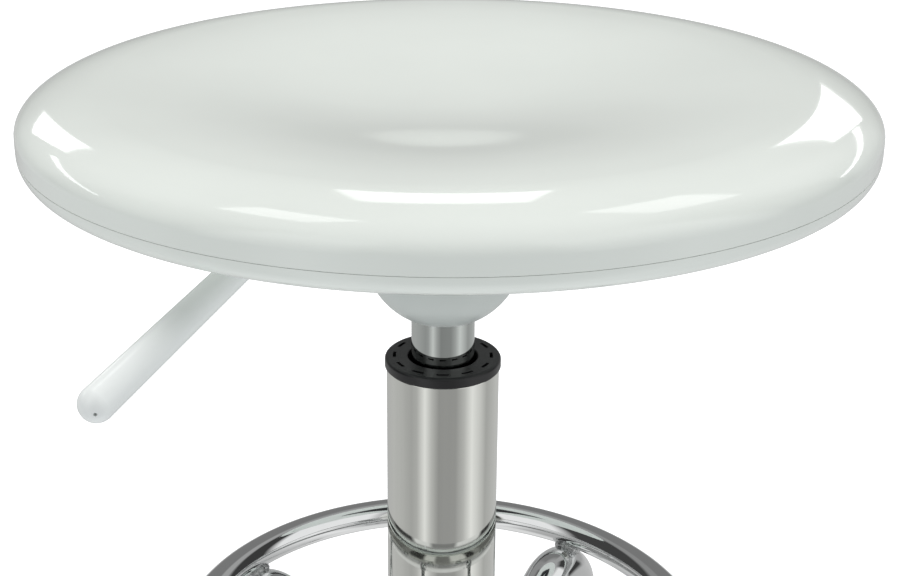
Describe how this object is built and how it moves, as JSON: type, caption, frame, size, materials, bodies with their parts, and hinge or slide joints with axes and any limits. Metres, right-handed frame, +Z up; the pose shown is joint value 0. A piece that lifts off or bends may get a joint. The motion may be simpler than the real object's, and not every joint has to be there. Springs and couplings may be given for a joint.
{
  "type": "adjustable swivel stool",
  "caption": "Round dished plastic seat on a gas-lift column that raises and swivels, with a height lever, bent tube legs and a foot ring.",
  "frame": {"origin": "on the swivel axis, at floor level", "axes": "+Z up along the swivel axis; the height lever points 35 degrees from -Y towards -X"},
  "size_m": [0.355, 0.355, 0.573],
  "materials": {
    "seat_plastic": "glossy white ABS",
    "handle_plastic": "satin white plastic",
    "cover_plastic": "satin white plastic",
    "black_plastic": "satin black",
    "rubber": "matte",
    "polished_chrome": "polished",
    "satin_chrome": "satin",
    "plain_steel": "machined",
    "painted_steel": "black powder coat",
    "brass": "turned"
  },
  "bodies": {
    "base": {"base_hub": "polished_chrome", "bearing_washer_lower": "plain_steel", "column_collar": "black_plastic", "column_disc": "plain_steel", "column_tube": "satin_chrome", "foot_cap_1": "black_plastic", "foot_cap_2": "black_plastic", "foot_cap_3": "black_plastic", "foot_cap_4": "black_plastic", "foot_pad_1": "rubber", "foot_pad_2": "rubber", "foot_pad_3": "rubber", "foot_pad_4": "rubber", "foot_ring": "polished_chrome", "guide_sleeve": "black_plastic", "leg_1": "polished_chrome", "leg_2": "polished_chrome", "leg_3": "polished_chrome", "leg_4": "polished_chrome"},
    "rod": {"bearing_ball_1": "plain_steel", "bearing_ball_2": "plain_steel", "bearing_ball_3": "plain_steel", "bearing_ball_4": "plain_steel", "bearing_ball_5": "plain_steel", "bearing_ball_6": "plain_steel", "bearing_cage": "black_plastic", "bearing_washer_upper": "plain_steel", "lift_buffer": "rubber", "piston": "plain_steel", "piston_nut": "plain_steel", "piston_rod": "polished_chrome", "piston_seal": "rubber", "retaining_clip": "plain_steel"},
    "seat": {"gas_cylinder": "polished_chrome", "hub_cover": "cover_plastic", "lever_bracket": "painted_steel", "pivot_pin": "plain_steel", "rod_guide": "black_plastic", "rod_seal": "rubber", "seat_pan": "seat_plastic", "seat_plate": "painted_steel", "seat_screw_1": "plain_steel", "seat_screw_2": "plain_steel", "seat_screw_3": "plain_steel", "seat_screw_4": "plain_steel", "seat_shell": "seat_plastic", "taper_socket": "painted_steel", "threaded_insert_1": "brass", "threaded_insert_2": "brass", "threaded_insert_3": "brass", "threaded_insert_4": "brass", "valve_block": "brass"},
    "lever": {"lever_rod": "plain_steel", "lever_handle": "handle_plastic"},
    "valve": {"valve_button": "plain_steel"}
  },
  "joints": [
    {"name": "seat_swivel", "type": "hinge", "parent": "base", "child": "rod", "pos_m": [0, 0, 0.2], "axis": [0, 0, 1], "continuous": true},
    {"name": "seat_height", "type": "slide", "parent": "rod", "child": "seat", "axis": [0, 0, 1], "range_m": [0, 0.14]},
    {"name": "lever_lift", "type": "hinge", "parent": "seat", "child": "lever", "pos_m": [-0.01491, -0.0213, 0.5333], "axis": [-0.8192, 0.5736, 0], "range_deg": [0, 5], "stiffness_Nm_per_rad": 2},
    {"name": "valve_press", "type": "slide", "parent": "seat", "child": "valve", "axis": [0, 0, -1], "range_m": [0, 0.0023], "stiffness_N_per_m": 2000}
  ],
  "couplings": [
    {"joint": "valve_press", "follows": "lever_lift", "m_per_rad": 0.026}
  ]
}
